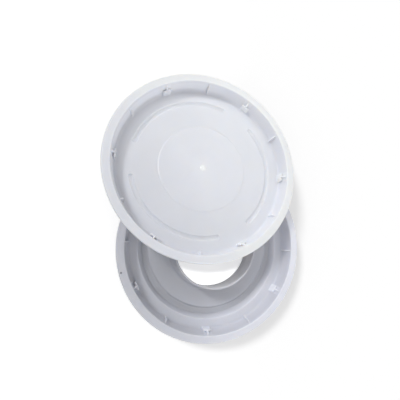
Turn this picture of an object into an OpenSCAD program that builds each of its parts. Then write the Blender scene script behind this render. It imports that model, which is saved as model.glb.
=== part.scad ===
// Ring mold in two mouldings: a round trough with a centre tube, and a dished lid lying aslant on it.
// Millimetres, +Z up. The origin is on the tube's axis, on the plane that the base stands on.

/* [Rim of both pieces] */
// Outer radius of the rim
rim_r = 100; // [92:0.5:115]
// Width of the flat band on top of the rim
rim_band = 8.3; // [7:0.1:10]
// Height of the skirt turned down at the rim's edge
skirt_h = 5; // [4:0.1:8]
// Rounding of the rim's outer edge
rim_round = 1.4; // [0.6:0.1:1.8]
// Rounding of the rim's inner edge
rim_inner_round = 0.7; // [0.3:0.1:1.2]

/* [Walls of both pieces] */
// Thickness of walls, floors and skirts
wall_t = 2; // [1.6:0.1:2.6]
// How far the wall leans inward from rim to floor
wall_lean = 2.3; // [1:0.1:4]
// Rounding where the wall meets the floor
floor_fillet = 3; // [2:0.1:4]
// Rounding of the small corners on top and underneath
soft_corner = 1; // [0.4:0.1:1.4]

/* [Base] */
// Height of the rim above the foot plane
base_h = 24; // [20:0.5:32]
// Height of the outer ledge above the foot plane
ledge_z = 8.5; // [6.5:0.1:11]
// Width of the ledge, from the wall's foot to the channel
ledge_w = 10.4; // [8:0.1:13]
// Width of the channel's outer slope
channel_slope_w = 3.6; // [2.5:0.1:5]
// Width of the channel's floor, which is also the foot
channel_w = 6.2; // [4:0.1:9]
// Width of the slope from the channel to the inner floor
inner_slope_w = 1.8; // [1.2:0.1:3]
// Height of the inner floor above the channel's floor
inner_step = 1.7; // [1:0.1:3]
// Turn of the base's lugs from +X
base_turn = 25.2; // [0:0.1:59.9]

/* [Centre tube] */
// Height of the tube's lip above the foot plane
tube_h = 30.1; // [27:0.1:36]
// Radius of the straight bore at the foot
bore_r = 44.5; // [38:0.1:48]
// Length of the straight bore
bore_len = 10; // [6:0.5:16]
// How far the bore narrows from there to the lip
bore_taper = 2.7; // [0.5:0.1:4]
// Rounding of the lip's edges
lip_round = 0.8; // [0.3:0.1:0.9]
// Rounding where the tube meets the inner floor
tube_fillet = 3.5; // [1.5:0.1:5]

/* [Lid] */
// Depth of the lid's floor below its rim
lid_depth = 14.2; // [11:0.1:18]
// Radius of the low round pad on the floor
pad_r = 46.3; // [40:0.1:50]
// Height of the pad
pad_h = 0.4; // [0.2:0.1:0.8]
// Radius of the gate mark
gate_r = 2.8; // [2:0.1:4]
// Height of the gate mark
gate_h = 0.7; // [0.4:0.1:1.2]

/* [Arc grooves of the lid] */
// Number of arcs
arc_count = 3; // [2:1:5]
// Gap between two arcs in degrees
arc_gap = 25.4; // [15:0.1:40]
// From the wall's foot to the middle of the groove
groove_inset = 15.2; // [12:0.1:20]
// Width of the groove
groove_w = 4.6; // [3:0.1:6]
// Depth of the groove in the floor
groove_d = 1.3; // [0.6:0.1:1.5]
// Height of the foot under the groove
foot_h = 1; // [0.6:0.1:2]
// Plastic on each side of the groove in its foot
foot_side = 1.4; // [1:0.1:2]

/* [Lugs and ribs inside the walls] */
// Number of lugs, and of the ribs between them
lug_count = 6; // [4:1:8]
// Width of a lug's bar along the wall
lug_w = 8.6; // [6:0.1:11]
// Thickness of a lug's bar
lug_t = 1.8; // [1.2:0.1:2.4]
// From the rim's inner edge to the bar's inner face
lug_stand = 4.2; // [3.6:0.1:5.5]
// Depth of the bar's top below the rim
lug_drop = 6.5; // [4:0.1:8]
// Thickness of a rib
rib_t = 1.6; // [1:0.1:2.4]
// Depth of a rib's top below the rim, at the wall
rib_drop = 1.2; // [0.8:0.1:3]
// Height of a rib's inner end above the level of the bars
rib_rise = 1; // [0.4:0.1:2]

/* [Resting place of the lid] */
// From the tube's axis to the middle of the lid's underside
lid_shift = 83.6; // [70:0.1:90]
// Heading of that shift, counterclockwise from +X
shift_heading = 98.5; // [80:0.1:110]
// Heading in which the lid slopes down
slope_heading = 80.5; // [65:0.1:110]
// Turn of the lid about its own axis
lid_turn = -5.7; // [-30:0.1:30]
// Gap between the lid and what it lies on
seat_gap = 0.3; // [0.1:0.05:0.6]

/* [Hidden] */
$fn = 180;
// Straight steps in a rounded corner of a section
corner_steps = 6;
// How far a lug or rib is rooted in the shell
root = wall_t / 3;

// Radii shared by both shells
rim_in_r = rim_r - rim_band;
wall_foot_r = rim_in_r - wall_lean;

// Sections of the base, from the wall inward
crest_r = wall_foot_r - ledge_w;
channel_out_r = crest_r - channel_slope_w;
channel_in_r = channel_out_r - channel_w;
ridge_r = channel_in_r - inner_slope_w;
inner_z = wall_t + inner_step;
lip_in_r = bore_r - bore_taper;
lip_out_r = lip_in_r + wall_t;
tube_out_r = bore_r + wall_t;

// Sections of the lid
lid_h = lid_depth + wall_t;
groove_r = wall_foot_r - groove_inset;
foot_w = groove_w + 2 * foot_side;
arc_pitch = 360 / arc_count;
arc_span = arc_pitch - arc_gap;

// Points that round off corner q between its neighbours p and s with radius r
function unit(v) = v / norm(v);
function corner(p, q, s, r) =
    let (u = unit(p - q), v = unit(s - q))
    let (half = acos(u * v) / 2)
    let (c = q + unit(u + v) * r / sin(half))
    let (a = q + u * r / tan(half) - c, b = q + v * r / tan(half) - c)
    let (a0 = atan2(a.y, a.x), turn = atan2(a.x * b.y - a.y * b.x, a * b))
    [for (i = [0:corner_steps]) c + r * [cos(a0 + turn * i / corner_steps), sin(a0 + turn * i / corner_steps)]];

// Closed section from corners [radius, height, rounding]
function flat2(c) = [c.x, c.y];
function section(cs) =
    let (n = len(cs))
    [for (i = [0:n - 1])
        let (p = flat2(cs[(i + n - 1) % n]), q = flat2(cs[i]), s = flat2(cs[(i + 1) % n]))
        for (pt = cs[i].z > 0 ? corner(p, q, s, cs[i].z) : [q]) pt];

// Corners of the rim, from the wall's outside round the skirt to the wall's inside
function rim_corners(top) = [
    [rim_in_r + wall_t, top - wall_t, soft_corner],
    [rim_r - wall_t, top - wall_t, soft_corner],
    [rim_r - wall_t, top - skirt_h, 0],
    [rim_r, top - skirt_h, wall_t / 4],
    [rim_r, top, rim_round],
    [rim_in_r, top, rim_inner_round]
];

// Thin web sloping up from a lug's bar to the leaning wall at +X, which is also a plain rib
module web(floor_z, top) {
    rotate([90, 0, 0])
        translate([0, 0, -rib_t / 2])
            linear_extrude(rib_t)
                polygon([
                    [rim_in_r - lug_stand, floor_z - root],
                    [wall_foot_r, floor_z - root],
                    [rim_in_r + root, top - rib_drop],
                    [rim_in_r - lug_stand, top - lug_drop + rib_rise]
                ]);
}

// Bar of a lug, standing on the floor just inside the wall
module bar(floor_z, top) {
    translate([rim_in_r - lug_stand, -lug_w / 2, floor_z - root])
        cube([lug_t, lug_w, top - lug_drop - floor_z + root]);
}

module lugs_and_ribs(floor_z, top) {
    for (i = [0:lug_count - 1]) {
        rotate(i * 360 / lug_count) {
            web(floor_z, top);
            bar(floor_z, top);
        }
        rotate((i + 0.5) * 360 / lug_count)
            web(floor_z, top);
    }
}

// Round trough with the centre tube
module mold_base() {
    color([0.84, 0.86, 0.9]) {
        rotate_extrude()
            polygon(section(concat(
                rim_corners(base_h),
                [
                    [wall_foot_r, ledge_z, floor_fillet],
                    [crest_r, ledge_z, soft_corner],
                    [channel_out_r, wall_t, soft_corner],
                    [channel_in_r, wall_t, soft_corner],
                    [ridge_r, inner_z, soft_corner],
                    [tube_out_r, inner_z, tube_fillet],
                    [lip_out_r, tube_h, lip_round],
                    [lip_in_r, tube_h, lip_round],
                    [bore_r, bore_len, 0],
                    [bore_r, 0, 0],
                    [tube_out_r, 0, wall_t / 4],
                    [tube_out_r, inner_z - wall_t, soft_corner],
                    [ridge_r - wall_t / 2, inner_z - wall_t, soft_corner],
                    [channel_in_r - wall_t / 2, 0, wall_t / 4],
                    [channel_out_r + wall_t / 2, 0, soft_corner],
                    [crest_r + wall_t / 2, ledge_z - wall_t, soft_corner],
                    [wall_foot_r + wall_t, ledge_z - wall_t, floor_fillet]
                ])));
        rotate(base_turn)
            lugs_and_ribs(ledge_z, base_h);
    }
}

// Arc of a square section round the lid's axis, its middle at +X
module arc_band(width, z0, z1) {
    rotate(-arc_span / 2)
        rotate_extrude(angle = arc_span)
            translate([groove_r - width / 2, z0])
                square([width, z1 - z0]);
}

// Lid as moulded, its flat underside at z = 0
module lid_upright() {
    difference() {
        union() {
            rotate_extrude()
                polygon(section(concat(
                    rim_corners(lid_h),
                    [
                        [wall_foot_r, wall_t, floor_fillet],
                        [pad_r + pad_h, wall_t, 0],
                        [pad_r, wall_t + pad_h, 0],
                        [gate_r, wall_t + pad_h, 0],
                        [gate_r / 2, wall_t + pad_h + gate_h, 0],
                        [0, wall_t + pad_h + gate_h, 0],
                        [0, 0, 0],
                        [wall_foot_r + wall_t, 0, floor_fillet]
                    ])));
            for (i = [0:arc_count - 1])
                rotate(i * arc_pitch)
                    arc_band(foot_w, -foot_h, root);
            lugs_and_ribs(wall_t, lid_h);
        }
        for (i = [0:arc_count - 1])
            rotate(i * arc_pitch)
                arc_band(groove_w, wall_t - groove_d, lid_h);
    }
}

// The lid lies on the tube's lip and on the base's rim. Both edges are rounded, so each is a circle of
// rounding centres [radius, height, rounding] that the lid's underside passes over.
lip_edge = [lip_out_r - lip_round, tube_h - lip_round, lip_round];
rim_edge = [rim_r - rim_round, base_h - rim_round, rim_round];
edge_span = [rim_edge.x - lip_edge.x, lip_edge.y - rim_edge.y];
slope = atan2(edge_span.y, edge_span.x) - asin((rim_edge.z - lip_edge.z) / norm(edge_span));
slope_dir = [cos(slope_heading), sin(slope_heading)];
lid_up = [sin(slope) * slope_dir.x, sin(slope) * slope_dir.y, cos(slope)];
lid_xy = lid_shift * [cos(shift_heading), sin(shift_heading)];

// Depth that a foot adds over a point at d from the lid's middle
function over_foot(d) =
    let (turn = (atan2(d.y, d.x) - lid_turn + arc_pitch / 2 + 720) % arc_pitch - arc_pitch / 2)
    let (margin = atan2(foot_side, groove_r))
    abs(norm(d) - groove_r) < foot_w / 2 + foot_side && abs(turn) < arc_span / 2 + margin ? foot_h : 0;

// Height over the lid's slope that an edge reaches at heading a, where the lid's floor covers it
function reach(edge, a) =
    let (p = [edge.x * cos(a), edge.x * sin(a), edge.y], d = [p.x, p.y] - lid_xy)
    norm(d) < wall_foot_r + wall_t ? p * lid_up + edge.z + over_foot(d) : 0;
rest_reach = max([for (a = [0:0.5:359.5], edge = [lip_edge, rim_edge]) reach(edge, a)]);
lid_z = (rest_reach + seat_gap - lid_up.x * lid_xy.x - lid_up.y * lid_xy.y) / lid_up.z;

// Dished lid, aslant where it rests
module mold_lid() {
    color([0.92, 0.94, 0.97])
        translate([lid_xy.x, lid_xy.y, lid_z])
            rotate(a = slope, v = [-slope_dir.y, slope_dir.x, 0])
                rotate(lid_turn)
                    lid_upright();
}

mold_base();
mold_lid();
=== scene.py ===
# %% [markdown]
# Ring mold with a lid
# The object is two injection mouldings in milky white plastic: a ring-shaped trough with a tube in its
# middle, and a dished lid that lies aslant on it. Both are turned shapes with a few small lugs, so a
# section and a turn make nearly all of it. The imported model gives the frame. Every piece below is made in
# that frame, in metres.

# %% Load the frame
import math

import bmesh
import bpy
from mathutils import Matrix, Vector


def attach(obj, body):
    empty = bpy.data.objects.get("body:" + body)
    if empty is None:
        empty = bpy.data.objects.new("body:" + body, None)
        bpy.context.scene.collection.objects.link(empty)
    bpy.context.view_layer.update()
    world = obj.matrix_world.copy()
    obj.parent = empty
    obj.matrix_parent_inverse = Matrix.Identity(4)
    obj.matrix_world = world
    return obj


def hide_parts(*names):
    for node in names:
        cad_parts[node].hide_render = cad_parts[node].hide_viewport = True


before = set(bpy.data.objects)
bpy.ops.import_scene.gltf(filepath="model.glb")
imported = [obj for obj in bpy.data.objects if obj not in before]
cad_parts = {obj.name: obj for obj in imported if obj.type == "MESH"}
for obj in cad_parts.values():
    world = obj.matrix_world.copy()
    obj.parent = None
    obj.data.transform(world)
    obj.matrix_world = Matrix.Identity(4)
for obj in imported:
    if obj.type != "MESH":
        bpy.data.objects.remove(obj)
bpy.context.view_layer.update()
scene = bpy.context.scene
scene.view_settings.view_transform = "Standard"
MM = 0.001

# %% [markdown]
# The camera
# The picture was taken from close above, so near rims look larger than far ones. A camera could be aimed by
# eye, but here its place and the point that it looks at were worked out from the round rims, which must
# appear as the right ovals. The picture's columns stand square to the X axis. The lens is short because the
# camera stood near, and the small shift stands for the cropping of the picture.

# %% Camera
PICTURE, FOCAL_PIXELS, CROP_PIXELS = 400, 260, 15
SENSOR = 36
CAMERA_PLACE = Vector((-79.633, 14.309, 290.205)) * MM
LOOKS_AT = Vector((-9.144, 35.277, 0)) * MM
into_view = (LOOKS_AT - CAMERA_PLACE).normalized()
to_bottom = into_view.cross(Vector((1, 0, 0))).normalized()
to_right = to_bottom.cross(into_view)
camera_data = bpy.data.cameras.new("camera")
camera_data.sensor_width = SENSOR
camera_data.lens = SENSOR * FOCAL_PIXELS / PICTURE
camera_data.shift_y = CROP_PIXELS / PICTURE
camera = bpy.data.objects.new("camera", camera_data)
scene.collection.objects.link(camera)
scene.camera = camera
stand = Matrix((to_right, -to_bottom, -into_view)).transposed().to_4x4()
stand.translation = CAMERA_PLACE
camera.matrix_world = stand
print("camera", round(camera_data.lens, 2), "mm lens,", round(stand.translation.z, 3), "m up")

# %% [markdown]
# Sizes
# The lid and the trough share their rim and wall, which is why one closes the other. These are the sizes of
# the drawing in millimetres. The trough's foot stands at height 0, and the lid is drawn upright with its
# underside at 0. Each piece has six lugs, and a lug's bar stands a little inside the rim.

# %% Sizes
WALL, FILLET = 2.0, 3.0
RIM_R, RIM_INNER_R, RIM_ROUND, SKIRT = 100.0, 91.7, 1.4, 5.0
WALL_FOOT_R = 89.4
BASE_H, LEDGE_Z, INNER_Z = 24.0, 8.5, 3.7
CREST_R, CHANNEL_OUTER_R, CHANNEL_INNER_R, RIDGE_R = 79.0, 75.4, 69.2, 67.4
TUBE_H, BORE_R, BORE_H, LIP_R, LIP_ROUND = 30.1, 44.5, 10.0, 41.8, 0.8
LID_H = 16.2
PAD_FOOT_R, PAD_TOP_R, PAD_H = 47.2, 46.0, 0.5
GATE_R, GATE_TOP_R, GATE_H = 2.8, 1.68, 0.6
LUG_COUNT = 6
BAR_W, BAR_T, BAR_DROP = 8.6, 1.8, 6.5
STAND_R = RIM_INNER_R - 4.2
BASE_TURN, LID_TURN = math.radians(25.2), 0.0
print("rim", 2 * RIM_R, "mm across, bore", 2 * BORE_R, "mm, lid", LID_H, "mm high")

# %% [markdown]
# Nodes in few words
# Shader trees and geometry trees are both made of nodes with named sockets. One small helper adds a node,
# sets its options, and fills each socket with either a plain value or a link from another node. The others
# are for the nodes that come up most: sums, sums with vectors, and a fade from one value to another.


# %% Helpers that add nodes
def add(tree, kind, sockets=None, **options):
    made = tree.nodes.new(kind)
    for name, value in options.items():
        setattr(made, name, value)
    for name, value in (sockets or {}).items():
        if isinstance(value, bpy.types.NodeSocket):
            tree.links.new(value, made.inputs[name])
        else:
            made.inputs[name].default_value = value
    return made


def math_node(tree, operation, *values):
    return add(tree, "ShaderNodeMath", dict(enumerate(values)), operation=operation).outputs[0]


def vector_node(tree, operation, *values):
    made = add(tree, "ShaderNodeVectorMath", dict(enumerate(values)), operation=operation)
    gives_number = operation in ("LENGTH", "DISTANCE", "DOT_PRODUCT")
    return made.outputs["Value" if gives_number else "Vector"]


def fade(tree, value, start, end, at_start=0.0, at_end=1.0):
    sockets = {"Value": value, "From Min": start, "From Max": end, "To Min": at_start, "To Max": at_end}
    return add(tree, "ShaderNodeMapRange", sockets).outputs[0]


def fade_mm(tree, distance, start, end, at_start=0.0, at_end=1.0):
    return fade(tree, distance, start * MM, end * MM, at_start, at_end)


print("helpers:", ", ".join(f.__name__ for f in (add, math_node, vector_node, fade, fade_mm)))

# %% [markdown]
# Tones of the plastic
# The tone changes with the distance from the axis, and a little from side to side. Both carry painted
# shade and light: darker in hollows and at the foot of walls, lighter on rims, and darker on the side where
# less light falls. The plastic is also painted whiter at the lugs, partly because it is thick there and
# partly as painted light that fills the lugs' shadows. Painting a picture onto the piece could show this
# too, but it would need a flattened map. Here the tone is worked out from the place of a point in the
# mould.


# %% Tones and painted shade by radius, by side and at the lugs
def tone_by_radius(tree, radius, stops):
    share = math_node(tree, "DIVIDE", radius, RIM_R * MM)
    ramp = add(tree, "ShaderNodeValToRGB", {"Fac": share})
    elements = ramp.color_ramp.elements
    while len(elements) < len(stops):
        elements.new(0.5)
    for element, (millimetres, tone) in zip(elements, stops):
        element.position = millimetres / RIM_R
        element.color = (tone, tone, tone, 1)
    return ramp.outputs["Color"]


# Which side of the axis a point lies on; the painted shade on one side and at the back comes from it.
def towards_side(tree, place, heading):
    side = Vector((math.cos(heading), math.sin(heading), 0)) / (RIM_R * MM)
    return vector_node(tree, "DOT_PRODUCT", place, side)


# Mask of the lugs and the wall next to them. Their tone is painted whiter, partly for the thick plastic and
# partly as painted light that fills the lugs' shadows.
def thick_and_lit_lug_places(tree, place, radius, turn):
    flat = add(tree, "ShaderNodeSeparateXYZ", {0: place}).outputs
    angle = math_node(tree, "ARCTAN2", flat[1], flat[0])
    pitch = 2 * math.pi / LUG_COUNT
    steps = math_node(tree, "MULTIPLY_ADD", angle, 1 / pitch, 0.5 - turn / pitch)
    aside = math_node(tree, "SUBTRACT", math_node(tree, "FRACT", steps), 0.5)
    offset = math_node(tree, "MULTIPLY", math_node(tree, "MULTIPLY", aside, pitch), radius)
    beside = math_node(tree, "ABSOLUTE", offset)
    near = fade_mm(tree, beside, BAR_W / 2 - 0.4, BAR_W / 2 + 1.0, 1.0, 0.0)
    inner = fade_mm(tree, radius, STAND_R - 1.1, STAND_R - 0.1)
    outer = fade_mm(tree, radius, RIM_INNER_R - 1.2, RIM_INNER_R + 0.3, 1.0, 0.0)
    return math_node(tree, "MULTIPLY", near, math_node(tree, "MULTIPLY", inner, outer))


print("lugs repeat every", 360 / LUG_COUNT, "degrees")

# %% [markdown]
# Marks of use
# Handling has left hairline scratches and a speck on each rim. A noise that is drawn out long in one
# direction gives the scratches, and two such directions are enough. A speck is a small dark spot round one
# point.

# %% Scratches and specks
# Each set of scratches has a heading and a number of waves to the metre along it.
SCRATCHES = [(math.radians(24), 30), (math.radians(-57), 22)]
SCRATCH_ACROSS, SCRATCH_UP = 1400, 300
SCRATCH_FROM, SCRATCH_FULL = 0.70, 0.78
SPECK_R, SPECK_EDGE_R, SPECK_TONE = 0.5, 1.3, 0.3


def noise(tree, place, scale, detail):
    return add(tree, "ShaderNodeTexNoise", {"Vector": place, "Scale": scale, "Detail": detail}).outputs[0]


def hairlines(tree, place, heading, along):
    turned = add(tree, "ShaderNodeMapping", {"Vector": place, "Rotation": (0, 0, heading)}).outputs[0]
    drawn = vector_node(tree, "MULTIPLY", turned, (along, SCRATCH_ACROSS, SCRATCH_UP))
    return fade(tree, noise(tree, drawn, 1.0, 1.0), SCRATCH_FROM, SCRATCH_FULL)


def clean_but_for(tree, place, speck):
    heading, from_axis, height = speck
    spot = Vector((from_axis * math.cos(heading), from_axis * math.sin(heading), height)) * MM
    away = vector_node(tree, "DISTANCE", place, spot)
    return fade_mm(tree, away, SPECK_R, SPECK_EDGE_R, SPECK_TONE, 1.0)


print("scratches run in", len(SCRATCHES), "directions")

# %% [markdown]
# The gate
# The gate is where the plastic entered the mould, in the middle of the lid. It is a small bright dot in a
# wide, faint halo. The dot is partly clouded plastic and partly a painted highlight, and the halo is a
# painted glow. Both are mixed over the colour, by the distance from the axis.

# %% Gate dot and painted glow
GATE_WHITE_AND_GLINT, GATE_EDGE_R, GATE_ROUGH = (0.97, 0.985, 1, 1), GATE_R + 0.8, 0.4
HALO_FROM_R, HALO_R, HALO_GLOW = GATE_R + 0.2, 16, 0.2


# The dot is partly clouded plastic and partly a painted highlight; the halo is a painted glow.
def gate_dot_and_painted_glow(tree, radius, colour):
    dot = fade_mm(tree, radius, GATE_R, GATE_EDGE_R, 1.0, HALO_GLOW)
    halo = fade_mm(tree, radius, HALO_FROM_R, HALO_R, 1.0, 0.0)
    dot_and_glow = math_node(tree, "MULTIPLY", dot, halo)
    return add(tree, "ShaderNodeMix", {0: dot_and_glow, 6: colour, 7: GATE_WHITE_AND_GLINT}, data_type="RGBA").outputs[2]


print("gate", 2 * GATE_R, "mm wide, halo", 2 * HALO_R, "mm")

# %% [markdown]
# The plastic
# Milky plastic lets light in and scatters it, so thin edges glow and shadows look soft. A plain white paint
# would look like plaster. Subsurface scattering over about the wall's own thickness gives that look. A
# cloudy mottle and the marks above are multiplied into one shade, and fine grain breaks up the gloss. At
# the gate the plastic is smoother and lets no light in.

# %% Milky plastic
SCATTER_DEPTH, SCATTER_BY_COLOUR, IOR = 3.0, (1.1, 1.0, 0.9), 1.49
MOTTLE_SCALE, MOTTLE_DARK = 26.0, 0.972
GLOSSY, DULL = 0.36, 0.46
SCRATCH_DARK, SCRATCH_DULL, SCRATCH_DEEP = -0.02, 0.15, -0.5
GRAIN_SCALE, GRAIN_STRENGTH, GRAIN_DEPTH = 1100.0, 0.12, 0.15
# Heading of the side that gets painted shade at the back.
SHADED_BACK_HEADING = math.radians(155)


def milky_plastic(name, tone, rings, lug_turn, lug_white_and_fill_light, painted_shade_side, speck, back_shade_rings=None, gate=False):
    material = bpy.data.materials.new(name)
    material.use_nodes = True
    tree = material.node_tree
    shader = tree.nodes["Principled BSDF"]
    place = add(tree, "ShaderNodeAttribute", attribute_name="as_moulded").outputs["Vector"]
    radius = vector_node(tree, "LENGTH", vector_node(tree, "MULTIPLY", place, (1, 1, 0)))
    mottle = noise(tree, place, MOTTLE_SCALE, 3.0)
    lines = math_node(tree, "MAXIMUM", *[hairlines(tree, place, *scratch) for scratch in SCRATCHES])
    lugs = thick_and_lit_lug_places(tree, place, radius, lug_turn)
    heading, side_shade_depth = painted_shade_side
    # The side factor is painted shade on the side where less light falls; the lug factor is partly thick
    # plastic and partly painted light.
    factors = [fade(tree, mottle, 0.3, 0.7, MOTTLE_DARK, 1.0),
               fade(tree, towards_side(tree, place, heading), 0.1, 1.0, 1.0, 1.0 - side_shade_depth),
               math_node(tree, "MULTIPLY_ADD", lugs, lug_white_and_fill_light, 1.0),
               math_node(tree, "MULTIPLY_ADD", lines, SCRATCH_DARK, 1.0),
               clean_but_for(tree, place, speck)]
    # Painted shade at the back, where the lid's wall faces away from the light.
    if back_shade_rings:
        facing_away_from_light = fade(tree, towards_side(tree, place, SHADED_BACK_HEADING), 0.0, 0.6)
        back_shade_amount = math_node(tree, "MULTIPLY", tone_by_radius(tree, radius, back_shade_rings), facing_away_from_light)
        factors.append(math_node(tree, "SUBTRACT", 1.0, back_shade_amount))
    # The tone by radius carries painted shade and light as well as the plastic's own tone.
    shade = tone_by_radius(tree, radius, rings)
    for factor in factors:
        shade = math_node(tree, "MULTIPLY", shade, factor)
    colour = add(tree, "ShaderNodeVectorMath", {0: tone, "Scale": shade}, operation="SCALE").outputs[0]
    gloss = fade(tree, mottle, 0.25, 0.75, GLOSSY, DULL)
    rough = math_node(tree, "MULTIPLY_ADD", lines, SCRATCH_DULL, gloss)
    shader.inputs["Subsurface Weight"].default_value = 1.0
    # At the gate a painted highlight and glow are mixed over the colour.
    if gate:
        colour = gate_dot_and_painted_glow(tree, radius, colour)
        tree.links.new(fade_mm(tree, radius, GATE_R, GATE_EDGE_R), shader.inputs["Subsurface Weight"])
        smooth_gate = fade_mm(tree, radius, GATE_R, GATE_EDGE_R, GATE_ROUGH, 1.0)
        rough = math_node(tree, "MULTIPLY", rough, smooth_gate)
    grain = noise(tree, place, GRAIN_SCALE, 2.0)
    relief = math_node(tree, "MULTIPLY_ADD", lines, SCRATCH_DEEP, grain)
    bump = add(tree, "ShaderNodeBump", {"Height": relief, "Strength": GRAIN_STRENGTH,
                                        "Distance": GRAIN_DEPTH * MM})
    tree.links.new(colour, shader.inputs["Base Color"])
    tree.links.new(rough, shader.inputs["Roughness"])
    tree.links.new(bump.outputs[0], shader.inputs["Normal"])
    shader.inputs["IOR"].default_value = IOR
    shader.inputs["Subsurface Radius"].default_value = SCATTER_BY_COLOUR
    shader.inputs["Subsurface Scale"].default_value = SCATTER_DEPTH * MM
    print("material", name, "with", len(tree.nodes), "nodes")
    return material


print("light scatters over about", SCATTER_DEPTH, "mm in a wall of", WALL, "mm")

# %% [markdown]
# The two plastics
# Each list gives a radius in millimetres and the tone there, and the tones carry painted shade and light.
# The base is painted greyer than the lid, as if in the lid's shade, most of all in the channel that stands
# on the table, on the floor by the tube and at the foot of its wall, while its ledge and rim are painted
# lighter. The lid is nearly even, with its rim and upper wall painted lighter and the foot of its wall
# darker. Only the foot of its wall and a line under its rim get more painted shade at the back, where they
# face away from the light, and that list says how much is taken off.

# %% Plastic of the base and of the lid
# Painted shade in the channel, by the tube and at the wall's foot; painted light on the ledge and rim.
base_tone_and_shade_rings = [(41, 0.65), (47, 0.64), (51, 0.60), (58, 0.63), (66, 0.68), (68.5, 0.67), (71, 0.59),
              (74.5, 0.60), (78, 0.78), (80, 0.825), (86, 0.82), (89, 0.75), (91.2, 0.72), (92.4, 0.88),
              (95, 0.91), (99, 0.91), (100, 0.85)]
# Painted light on the rim and upper wall, painted shade at the foot of the wall.
lid_tone_and_shade_rings = [(0, 0.93), (60, 0.93), (84, 0.925), (89, 0.91), (91, 0.93), (92.5, 1.0), (99, 1.0),
             (100, 0.95)]
# Painted shade at the back of the lid: the foot of its wall and a line under its rim.
lid_back_shade_rings = [(81, 0), (86.5, 0.15), (89.7, 0.17), (90.2, 0), (91.2, 0), (91.45, 0.1), (91.8, 0.1),
                  (92.2, 0)]
# Each plastic is also painted darker on one side, where less light falls.
base_plastic = milky_plastic("base_plastic", tone=(0.86, 0.875, 0.95), rings=base_tone_and_shade_rings, lug_turn=BASE_TURN,
                             lug_white_and_fill_light=0.2, painted_shade_side=(math.radians(-165), 0.26),
                             speck=(math.radians(-166.5), 97.4, BASE_H))
lid_plastic = milky_plastic("lid_plastic", tone=(0.91, 0.925, 0.985), rings=lid_tone_and_shade_rings, lug_turn=LID_TURN,
                            lug_white_and_fill_light=0.1, painted_shade_side=(math.radians(-145), 0.13),
                            speck=(math.radians(43.6), 99.6, 15), back_shade_rings=lid_back_shade_rings, gate=True)

# %% [markdown]
# Sections
# A turned piece is known once its section is known: the outline that a saw cut through the axis would show.
# Each corner is written as radius, height and rounding in millimetres, as on a drawing, and the rounding is
# worked out here. A bevel modifier could round the corners later, but then each corner couldn't have its
# own radius.

# %% Rounded sections
ROUND_STEPS = 7


def rounded_corner(before, corner, after, rounding):
    to_before = (before - corner).normalized()
    to_after = (after - corner).normalized()
    half = math.acos(max(-1.0, min(1.0, to_before.dot(to_after)))) / 2
    centre = corner + (to_before + to_after).normalized() * rounding / math.sin(half)
    start = corner + to_before * rounding / math.tan(half) - centre
    end = corner + to_after * rounding / math.tan(half) - centre
    turn = math.atan2(start.x * end.y - start.y * end.x, start.dot(end))
    first = math.atan2(start.y, start.x)
    steps = [first + turn * i / ROUND_STEPS for i in range(ROUND_STEPS + 1)]
    return [centre + rounding * Vector((math.cos(a), math.sin(a))) for a in steps]


def section_mesh(name, corners, closed):
    points = []
    for i, (radius, height, rounding) in enumerate(corners):
        here = Vector((radius, height))
        if rounding == 0:
            points.append(here)
            continue
        before = Vector(corners[i - 1][:2])
        after = Vector(corners[(i + 1) % len(corners)][:2])
        points += rounded_corner(before, here, after, rounding)
    if closed:
        points.append(points[0])
    mesh = bpy.data.meshes.new(name)
    mesh.from_pydata([(p.x * MM, 0, p.y * MM) for p in points], [], [])
    holder = bpy.data.objects.new(name, mesh)
    scene.collection.objects.link(holder)
    print(name, "has", len(points), "points")
    return holder


print("each rounded corner gets", ROUND_STEPS, "steps")

# %% [markdown]
# The two sections
# The base's section is a closed ring, which runs from the rim inward over the floors and up the tube, and
# back along the underside. There the slopes stand a little aside, which keeps the plastic evenly thick. The
# lid's section starts and ends on the axis. Three points on its flat stretches keep the faces there from
# growing long.

# %% Sections of the base and of the lid
UNDER_SHIFT = 1.0
FLAT_OUTER_R, FLAT_INNER_R, PAD_FLAT_R = 82.0, 66.0, 20.0


def rim_corners(top):
    return [(RIM_INNER_R + WALL, top - WALL, 1.0), (RIM_R - WALL, top - WALL, 1.0),
            (RIM_R - WALL, top - SKIRT, 0.3), (RIM_R, top - SKIRT, 0.5),
            (RIM_R, top, RIM_ROUND), (RIM_INNER_R, top, 0.7)]


base_corners = rim_corners(BASE_H) + [
    (WALL_FOOT_R, LEDGE_Z, FILLET), (CREST_R, LEDGE_Z, 1.4),
    (CHANNEL_OUTER_R, WALL, 1.4), (CHANNEL_INNER_R, WALL, 1.0),
    (RIDGE_R, INNER_Z, 0.7), (BORE_R + WALL, INNER_Z, 3.5),
    (LIP_R + WALL, TUBE_H, LIP_ROUND), (LIP_R, TUBE_H, LIP_ROUND),
    (BORE_R, BORE_H, 2.0), (BORE_R, 0, 0.3),
    (BORE_R + WALL, 0, 0.5), (BORE_R + WALL, INNER_Z - WALL, 1.0),
    (RIDGE_R - UNDER_SHIFT, INNER_Z - WALL, 1.0), (CHANNEL_INNER_R - UNDER_SHIFT, 0, 0.5),
    (CHANNEL_OUTER_R + UNDER_SHIFT, 0, 1.0), (CREST_R + UNDER_SHIFT, LEDGE_Z - WALL, 1.0),
    (WALL_FOOT_R + WALL, LEDGE_Z - WALL, FILLET)]
pad_z = WALL + PAD_H
gate_z = pad_z + GATE_H
lid_corners = [(0, 0, 0), (WALL_FOOT_R + WALL, 0, FILLET)] + rim_corners(LID_H) + [
    (WALL_FOOT_R, WALL, FILLET), (FLAT_OUTER_R, WALL, 0), (FLAT_INNER_R, WALL, 0),
    (PAD_FOOT_R, WALL, 0.8), (PAD_TOP_R, pad_z, 0.8), (PAD_FLAT_R, pad_z, 0),
    (GATE_R, pad_z, 0.4), (GATE_TOP_R, gate_z, 0.7), (0, gate_z, 0)]
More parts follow.
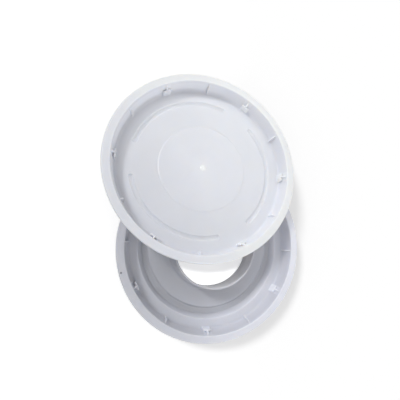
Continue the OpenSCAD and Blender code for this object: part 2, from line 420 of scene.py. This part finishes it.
base_section = section_mesh("base_section", base_corners, True)
lid_section = section_mesh("lid_section", lid_corners, False)

# %% [markdown]
# Lugs and ribs
# Inside each wall stand six small lugs, T-shaped from above: a bar across and a thin web to the wall.
# Between them the same web stands alone as a rib. One bar and one web are enough, because a ring of copies
# makes the rest. Their edges are bevelled a little, as any moulded edge is, so that they catch the light.
# Bar and web are rooted in the floor and the wall, and the web ends just inside the bar, so that no two
# faces lie in one plane.

# %% One bar and one web
WEB_T, WEB_DROP, WEB_RISE, WEB_BACK, ROOT = 1.6, 1.2, 1.0, 0.06, 0.67
BAR_BEVEL, WEB_BEVEL, BEVEL_STEPS = 0.6, 0.5, 3


def bevelled_prism(name, outline, thickness, bevel):
    bm = bmesh.new()
    near = [bm.verts.new((x * MM, -thickness / 2 * MM, z * MM)) for x, z in outline]
    face = bm.faces.new(near)
    far = bmesh.ops.extrude_face_region(bm, geom=[face])["geom"]
    moved = [v for v in far if isinstance(v, bmesh.types.BMVert)]
    bmesh.ops.translate(bm, verts=moved, vec=(0, thickness * MM, 0))
    bmesh.ops.bevel(bm, geom=bm.edges[:], offset=bevel * MM, segments=BEVEL_STEPS, profile=0.5,
                    affect="EDGES")
    bmesh.ops.recalc_face_normals(bm, faces=bm.faces[:])
    mesh = bpy.data.meshes.new(name)
    bm.to_mesh(mesh)
    bm.free()
    holder = bpy.data.objects.new(name, mesh)
    scene.collection.objects.link(holder)
    return holder


def lug_bar(name, floor_z, top):
    low, high = floor_z - ROOT, top - BAR_DROP
    outline = [(STAND_R, low), (STAND_R + BAR_T, low), (STAND_R + BAR_T, high), (STAND_R, high)]
    return bevelled_prism(name, outline, BAR_W, BAR_BEVEL)


def lug_web(name, floor_z, top):
    low, high = floor_z - ROOT, top - WEB_DROP
    end_r, end_z = STAND_R + WEB_BACK, top - BAR_DROP + WEB_RISE
    outline = [(end_r, low), (WALL_FOOT_R, low), (RIM_INNER_R + ROOT, high), (end_r, end_z)]
    return bevelled_prism(name, outline, WEB_T, WEB_BEVEL)


base_bar, base_web = lug_bar("base_bar", LEDGE_Z, BASE_H), lug_web("base_web", LEDGE_Z, BASE_H)
lid_bar, lid_web = lug_bar("lid_bar", WALL, LID_H), lug_web("lid_web", WALL, LID_H)
print("bar", len(base_bar.data.polygons), "faces, web", len(base_web.data.polygons), "faces")

# %% [markdown]
# Turning
# A section could be turned with a Screw modifier. A tree of nodes with named inputs does the same and can
# go on into the next tree. A flat grid is wrapped round the axis: its columns take the section's points and
# its rows the angle. Where the last row meets the first, the points are merged, which closes the seam.

# %% Tree that turns a section
TURN_STEPS, SEAM = 300, 0.001 * MM


def new_tree(name, inputs):
    tree = bpy.data.node_groups.new(name, "GeometryNodeTree")
    for label, kind in inputs:
        tree.interface.new_socket(label, in_out="INPUT", socket_type="NodeSocket" + kind)
    tree.interface.new_socket("Geometry", in_out="OUTPUT", socket_type="NodeSocketGeometry")
    given = tree.nodes.new("NodeGroupInput").outputs
    result = tree.nodes.new("NodeGroupOutput").inputs[0]
    return tree, given, result


def make_turning():
    tree, given, result = new_tree("turned_shell", [("Section", "Geometry"), ("Steps", "Int")])
    count = add(tree, "GeometryNodeAttributeDomainSize", {0: given["Section"]}).outputs["Point Count"]
    rows = math_node(tree, "ADD", given["Steps"], 1)
    grid = add(tree, "GeometryNodeMeshGrid", {
        "Size X": 1.0, "Size Y": 1.0, "Vertices X": count, "Vertices Y": rows})
    where = add(tree, "GeometryNodeInputPosition").outputs[0]
    across = add(tree, "ShaderNodeSeparateXYZ", {0: where}).outputs
    last = math_node(tree, "SUBTRACT", count, 1)
    along = math_node(tree, "MULTIPLY", math_node(tree, "ADD", across[0], 0.5), last)
    number = add(tree, "FunctionNodeFloatToInt", {0: along}, rounding_mode="ROUND").outputs[0]
    point = add(tree, "GeometryNodeSampleIndex", {"Geometry": given["Section"], "Index": number},
                data_type="FLOAT_VECTOR")
    tree.links.new(where, point.inputs["Value"])
    angle = math_node(tree, "MULTIPLY", across[1], 2 * math.pi)
    turned = add(tree, "ShaderNodeVectorRotate", {"Vector": point.outputs[0], "Angle": angle},
                 rotation_type="Z_AXIS")
    wrapped = add(tree, "GeometryNodeSetPosition", {
        "Geometry": grid.outputs[0], "Position": turned.outputs[0]})
    closed = add(tree, "GeometryNodeMergeByDistance", {"Geometry": wrapped.outputs[0], "Distance": SEAM})
    outward = add(tree, "GeometryNodeFlipFaces", {"Mesh": closed.outputs[0]})
    tree.links.new(outward.outputs[0], result)
    return tree


turned_shell = make_turning()
print("tree", turned_shell.name, "with", len(turned_shell.nodes), "nodes")

# %% [markdown]
# Rings of copies
# The lugs, the ribs and the grooves all repeat round the axis. Each point of a small cloud stands on the
# axis and carries one copy, turned by its share of a full turn.


# %% Tree that sets copies round the axis
def make_ring():
    labels = [("Piece", "Geometry"), ("Count", "Int"), ("Turn", "Float")]
    tree, given, result = new_tree("ring_of_copies", labels)
    points = add(tree, "GeometryNodePoints", {"Count": given["Count"]})
    index = add(tree, "GeometryNodeInputIndex").outputs[0]
    share = math_node(tree, "DIVIDE", index, given["Count"])
    angle = math_node(tree, "MULTIPLY_ADD", share, 2 * math.pi, given["Turn"])
    turn = add(tree, "FunctionNodeAxisAngleToRotation", {"Axis": (0, 0, 1), "Angle": angle})
    copies = add(tree, "GeometryNodeInstanceOnPoints", {
        "Points": points.outputs[0], "Instance": given["Piece"], "Rotation": turn.outputs[0]})
    real = add(tree, "GeometryNodeRealizeInstances", {"Geometry": copies.outputs[0]})
    tree.links.new(real.outputs[0], result)
    return tree


ring_of_copies = make_ring()
print("tree", ring_of_copies.name, "with", len(ring_of_copies.nodes), "nodes")

# %% [markdown]
# Arcs
# A groove in the lid is an oval that runs along part of a circle. Its ends are round: over the last half
# width the oval shrinks as a circle does. It stops a little short of nothing, so that each end keeps a
# small face.

# %% Tree that sweeps an oval along an arc
ARC_STEPS, OVAL_STEPS, END_LEFT = 220, 28, 0.02


def make_arc():
    labels = ("Radius", "Span", "Half Width", "Half Depth", "Height")
    tree, given, result = new_tree("arc_sweep", [(label, "Float") for label in labels])
    start = math_node(tree, "MULTIPLY", given["Span"], -0.5)
    arc = add(tree, "GeometryNodeCurveArc", {
        "Resolution": ARC_STEPS, "Radius": given["Radius"], "Start Angle": start,
        "Sweep Angle": given["Span"]}, mode="RADIUS")
    upright = add(tree, "GeometryNodeSetCurveNormal", {"Curve": arc.outputs[0]}, mode="Z_UP")
    oval = add(tree, "GeometryNodeCurvePrimitiveCircle", {"Resolution": OVAL_STEPS, "Radius": 1.0})
    shape = add(tree, "ShaderNodeCombineXYZ", {0: given["Half Width"], 1: given["Half Depth"], 2: 1.0})
    profile = add(tree, "GeometryNodeTransform", {"Geometry": oval.outputs[0], "Scale": shape.outputs[0]})
    way = add(tree, "GeometryNodeSplineParameter").outputs["Length"]
    length = add(tree, "GeometryNodeSplineLength").outputs["Length"]
    nearest = math_node(tree, "MINIMUM", way, math_node(tree, "SUBTRACT", length, way))
    share = math_node(tree, "MINIMUM", math_node(tree, "DIVIDE", nearest, given["Half Width"]), 1.0)
    back = math_node(tree, "SUBTRACT", 1.0, share)
    lost = math_node(tree, "MULTIPLY", back, back)
    round_end = math_node(tree, "SQRT", math_node(tree, "SUBTRACT", 1.0 + END_LEFT, lost))
    swept = add(tree, "GeometryNodeCurveToMesh", {
        "Curve": upright.outputs[0], "Scale": round_end, "Profile Curve": profile.outputs[0],
        "Fill Caps": True})
    lift = add(tree, "ShaderNodeCombineXYZ", {2: given["Height"]})
    placed = add(tree, "GeometryNodeTransform", {"Geometry": swept.outputs[0],
                                                 "Translation": lift.outputs[0]})
    tree.links.new(placed.outputs[0], result)
    return tree


arc_sweep = make_arc()
print("tree", arc_sweep.name, "with", len(arc_sweep.nodes), "nodes")

# %% [markdown]
# One moulding from its parts
# Real plastic has no inner surfaces where a lug meets the wall. Copies that only overlap would leave such
# surfaces, and scattered light would stop at them. So the shell, the bars and the webs are united into one
# closed skin, and the grooves are cut from it. The place of each point as moulded is stored on the skin for
# the material, before the lid is tilted onto the trough.

# %% Tree of a moulding
CREASE = math.radians(32)


def group(tree, inner, sockets):
    return add(tree, "GeometryNodeGroup", sockets, node_tree=inner).outputs[0]


def make_moulding(name, arcs):
    tree, given, result = new_tree(name, [
        ("Section", "Object"), ("Bar", "Object"), ("Web", "Object"), ("Lug Count", "Int"),
        ("Lug Turn", "Float"), ("Steps", "Int"), ("Skin", "Material")])
    section, bar, web = [add(tree, "GeometryNodeObjectInfo", {"Object": given[label]}).outputs["Geometry"]
                         for label in ("Section", "Bar", "Web")]
    lugs, turn = given["Lug Count"], given["Lug Turn"]
    lugs_and_ribs = math_node(tree, "MULTIPLY", lugs, 2)
    solids = [group(tree, turned_shell, {"Section": section, "Steps": given["Steps"]}),
              group(tree, ring_of_copies, {"Piece": bar, "Count": lugs, "Turn": turn}),
              group(tree, ring_of_copies, {"Piece": web, "Count": lugs_and_ribs, "Turn": turn})]
    feet, grooves = arcs(tree)
    joined = add(tree, "GeometryNodeMeshBoolean", operation="UNION", solver="MANIFOLD")
    for solid in solids + feet:
        tree.links.new(solid, joined.inputs["Mesh 2"])
    skin = joined.outputs[0]
    for groove in grooves:
        cut = add(tree, "GeometryNodeMeshBoolean", {"Mesh 1": skin}, operation="DIFFERENCE",
                  solver="MANIFOLD")
        tree.links.new(groove, cut.inputs["Mesh 2"])
        skin = cut.outputs[0]
    bend = add(tree, "GeometryNodeInputMeshEdgeAngle").outputs[0]
    soft = math_node(tree, "LESS_THAN", bend, CREASE)
    faces = add(tree, "GeometryNodeSetShadeSmooth", {"Geometry": skin, "Shade Smooth": True},
                domain="FACE")
    edges = add(tree, "GeometryNodeSetShadeSmooth", {"Geometry": faces.outputs[0], "Shade Smooth": soft},
                domain="EDGE")
    where = add(tree, "GeometryNodeInputPosition").outputs[0]
    kept = add(tree, "GeometryNodeStoreNamedAttribute", {
        "Geometry": edges.outputs[0], "Name": "as_moulded"}, data_type="FLOAT_VECTOR", domain="POINT")
    tree.links.new(where, kept.inputs["Value"])
    real = add(tree, "GeometryNodeRealizeInstances", {"Geometry": kept.outputs[0]})
    coated = add(tree, "GeometryNodeSetMaterial", {"Geometry": real.outputs[0],
                                                   "Material": given["Skin"]})
    tree.links.new(coated.outputs[0], result)
    print("tree", name, "with", len(tree.nodes), "nodes")
    return tree


print("edges that bend more than", round(math.degrees(CREASE)), "degrees stay sharp")

# %% [markdown]
# From a tree to a plain mesh
# A modifier runs the tree. Its inputs are set by their identifiers, the result is copied into a plain mesh,
# and the modifier is taken off. The mesh is then moved to its place, so that the object itself stays at the
# origin. Counting open edges and the volume shows that the skin is closed.


# %% Make a moulding
def moulded(name, tree, values, place):
    holder = bpy.data.objects.new(name, bpy.data.meshes.new(name + "_start"))
    scene.collection.objects.link(holder)
    modifier = holder.modifiers.new("moulding", "NODES")
    modifier.node_group = tree
    for item in tree.interface.items_tree:
        if item.in_out == "INPUT":
            modifier[item.identifier] = values[item.name]
    seen = holder.evaluated_get(bpy.context.evaluated_depsgraph_get())
    made = bpy.data.meshes.new_from_object(seen)
    holder.modifiers.remove(modifier)
    made.transform(place)
    made.name = name
    holder.data = made
    bm = bmesh.new()
    bm.from_mesh(made)
    open_edges = sum(not edge.is_manifold for edge in bm.edges)
    volume_cm3 = bm.calc_volume() / (10 * MM) ** 3
    bm.free()
    print(name, len(made.polygons), "faces,", open_edges, "open edges,", round(volume_cm3, 1), "cm3")
    return holder


print("ready to mould", sorted(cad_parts))

# %% [markdown]
# The trough
# The base has six lugs and six ribs and nothing cut into it, so its tree has no arcs.


# %% Base
def no_arcs(tree):
    return [], []


base_tree = make_moulding("base_moulding", no_arcs)
ring_trough = moulded("ring_trough", base_tree, {
    "Section": base_section, "Bar": base_bar, "Web": base_web, "Lug Count": LUG_COUNT,
    "Lug Turn": BASE_TURN, "Steps": TURN_STEPS, "Skin": base_plastic}, Matrix.Identity(4))

# %% [markdown]
# The lid
# Three arc grooves are sunk into the lid's floor, and the plastic under them stands out below as low feet,
# so the wall stays evenly thick. The lid lies on the tube's lip and on the trough's far rim. Both edges are
# rounded, and its slope is that of a straight line that touches both roundings from above.

# %% Lid
GROOVE_R, ARC_SPAN, ARC_COUNT = 74.2, math.radians(94.6), 3
FOOT = {"Half Width": 3.7, "Half Depth": 1.6, "Height": 0.6}
GROOVE = {"Half Width": 2.7, "Half Depth": 2.1, "Height": WALL + 0.8}
LID_SHIFT, SHIFT_HEADING, LID_Z = 83.6, math.radians(98.5), 26.41
SLOPE_HEADING, LID_YAW = math.radians(80.5), math.radians(-5.7)


def ring_of_arcs(tree, sizes):
    sockets = {label: size * MM for label, size in sizes.items()}
    arc = group(tree, arc_sweep, {"Radius": GROOVE_R * MM, "Span": ARC_SPAN, **sockets})
    return group(tree, ring_of_copies, {"Piece": arc, "Count": ARC_COUNT})


def feet_and_grooves(tree):
    return [ring_of_arcs(tree, FOOT)], [ring_of_arcs(tree, GROOVE)]


run = (RIM_R - RIM_ROUND) - (LIP_R + WALL - LIP_ROUND)
drop = (TUBE_H - LIP_ROUND) - (BASE_H - RIM_ROUND)
slope = math.atan2(drop, run) - math.asin((RIM_ROUND - LIP_ROUND) / math.hypot(run, drop))
level_axis = Vector((-math.sin(SLOPE_HEADING), math.cos(SLOPE_HEADING), 0))
middle = Vector((LID_SHIFT * math.cos(SHIFT_HEADING), LID_SHIFT * math.sin(SHIFT_HEADING), LID_Z)) * MM
tilted = Matrix.Rotation(slope, 4, level_axis) @ Matrix.Rotation(LID_YAW, 4, "Z")
print("the lid slopes", round(math.degrees(slope), 3), "degrees")
lid_tree = make_moulding("lid_moulding", feet_and_grooves)
dished_lid = moulded("dished_lid", lid_tree, {
    "Section": lid_section, "Bar": lid_bar, "Web": lid_web, "Lug Count": LUG_COUNT,
    "Lug Turn": LID_TURN, "Steps": TURN_STEPS, "Skin": lid_plastic}, Matrix.Translation(middle) @ tilted)
for helper in (base_section, lid_section, base_bar, base_web, lid_bar, lid_web):
    bpy.data.objects.remove(helper)

# %% [markdown]
# The floor
# A pale floor carries the soft shadow. The camera sees it nearly white, as in a studio, while the plastic
# is lit by a floor of a plain grey. For that its material asks what kind of ray has met it. It glows a
# little where it is seen directly, more at the left than at the right, and most inside the tube where the
# lid leaves it open. There a circle of weaker glow is a painted shadow of the lid's edge.

# %% Floor
FLOOR_HALF, FLOOR_Z = 4, -0.0002
FLOOR_GREY, FLOOR_SEEN = (0.36, 0.35, 0.33, 1), (0.95, 0.95, 0.95, 1)
LEFT_X, RIGHT_X, GLOW_LEFT, GLOW_RIGHT = -80, 60, 0.43, 0.34
SHADE_MIDDLE, SHADE_R, SHADE_EDGE = Vector((6, 70, 0)) * MM, 99, 5
GLOW_SHADED, GLOW_OPEN = 0.16, 0.6


def seen_directly(tree):
    path = add(tree, "ShaderNodeLightPath").outputs
    seen = math_node(tree, "MAXIMUM", path["Is Camera Ray"], path["Is Glossy Ray"])
    return math_node(tree, "MAXIMUM", seen, path["Is Transmission Ray"])


def pale_paper():
    paper = bpy.data.materials.new("pale_paper")
    paper.use_nodes = True
    tree = paper.node_tree
    tree.nodes.clear()
    seen = seen_directly(tree)
    tone = add(tree, "ShaderNodeMix", {0: seen, 6: FLOOR_GREY, 7: FLOOR_SEEN}, data_type="RGBA")
    matte = add(tree, "ShaderNodeBsdfDiffuse", {"Color": tone.outputs[2]})
    where = add(tree, "ShaderNodeTexCoord").outputs["Object"]
    in_tube = math_node(tree, "LESS_THAN", vector_node(tree, "LENGTH", where), (BORE_R + WALL / 2) * MM)
    # Painted shadow of the lid's edge in the tube: weaker glow inside this circle, stronger past it.
    from_shade = vector_node(tree, "DISTANCE", where, SHADE_MIDDLE)
    glow_past_lid_shadow = fade_mm(tree, from_shade, SHADE_R, SHADE_R + SHADE_EDGE, GLOW_SHADED, GLOW_OPEN)
    sideways = add(tree, "ShaderNodeSeparateXYZ", {0: where}).outputs[0]
    plain = fade_mm(tree, sideways, LEFT_X, RIGHT_X, GLOW_LEFT, GLOW_RIGHT)
    level = math_node(tree, "MULTIPLY_ADD", in_tube, glow_past_lid_shadow, plain)
    glow = add(tree, "ShaderNodeEmission", {"Strength": math_node(tree, "MULTIPLY", seen, level)})
    both = add(tree, "ShaderNodeAddShader", {0: matte.outputs[0], 1: glow.outputs[0]})
    add(tree, "ShaderNodeOutputMaterial", {"Surface": both.outputs[0]})
    return paper


corners = [(x * FLOOR_HALF, y * FLOOR_HALF, FLOOR_Z) for x, y in ((-1, -1), (1, -1), (1, 1), (-1, 1))]
floor_mesh = bpy.data.meshes.new("floor")
floor_mesh.from_pydata(corners, [], [(0, 1, 2, 3)])
floor_mesh.materials.append(pale_paper())
floor = bpy.data.objects.new("floor", floor_mesh)
scene.collection.objects.link(floor)
print("floor", [round(d, 1) for d in floor.dimensions])

# %% [markdown]
# The sky
# The sky is even and white. It lights the plastic softly at less than half strength, and where it is seen
# directly it is plain white.

# %% Sky
SKY_LIGHT, SKY_SEEN = 0.45, 1.0
world = bpy.data.worlds.new("studio")
scene.world = world
world.use_nodes = True
sky = world.node_tree.nodes["Background"]
sky.inputs["Color"].default_value = (1, 1, 1, 1)
sky_level = fade(world.node_tree, seen_directly(world.node_tree), 0.0, 1.0, SKY_LIGHT, SKY_SEEN)
world.node_tree.links.new(sky_level, sky.inputs["Strength"])
print("sky gives", SKY_LIGHT, "and is seen as", SKY_SEEN)

# %% [markdown]
# Lamps
# The light comes from the upper left. A low light from the front brightens the far wall of the lid, and two
# near lamps stand at the right, as the picture's tones ask for. These three leave the floor out, so that
# there is one shadow, at the right. Milky plastic also lets light through: a lamp above the lid lights the
# trough alone and isn't stopped by the lid or the tube.


# %% Lamps
def lamp(name, kind, energy, towards, place=(0, 0, 0), **options):
    data = bpy.data.lights.new(name, kind)
    data.energy = energy
    for option, value in options.items():
        setattr(data, option, value)
    made = bpy.data.objects.new(name, data)
    scene.collection.objects.link(made)
    made.location = place
    made.rotation_mode = "QUATERNION"
    made.rotation_quaternion = Vector(towards).to_track_quat("-Z", "Y")
    return made


def collected(name, *members):
    made = bpy.data.collections.new(name)
    for member in members:
        made.objects.link(member)
    return made


key = lamp("window_left", "SUN", energy=1.2, towards=(24, -21, -27), angle=math.radians(12))
near = lamp("lamp_right", "AREA", energy=0.17, towards=(-0.12, -0.25, -0.27), place=(0.12, 0.3, 0.27),
            shape="DISK", size=0.2)
low = lamp("window_low", "SUN", energy=1.1, towards=(-0.42, 0.9, -0.22), angle=math.radians(50))
front = lamp("lamp_front", "AREA", energy=0.1, towards=(-0.22, 0.1, -0.3), place=(0.28, -0.12, 0.3),
             shape="DISK", size=0.2)
through = lamp("light_through_lid", "AREA", energy=0.12, towards=(0, 0, -1), place=(-0.015, 0.1, 0.11),
               shape="DISK", size=0.12)
through.light_linking.receiver_collection = collected("under_lid", ring_trough)
through.light_linking.blocker_collection = collected("not_plastic", floor)
plastic_only = collected("lit_by_small_lamps", ring_trough, dished_lid)
for small in (low, near, front):
    small.light_linking.receiver_collection = plastic_only
print("lamps:", key.name, low.name, near.name, front.name, through.name)

# %% [markdown]
# Finish
# Each new piece rides on its body and stands for the plain solid of the frame, which stays for collisions.

# %% Ride and replace
for piece, body, node, slot in ((ring_trough, "base", "mold_base", "base_plastic"),
                                (dished_lid, "lid", "mold_lid", "lid_plastic")):
    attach(piece, body)
    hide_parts(node)
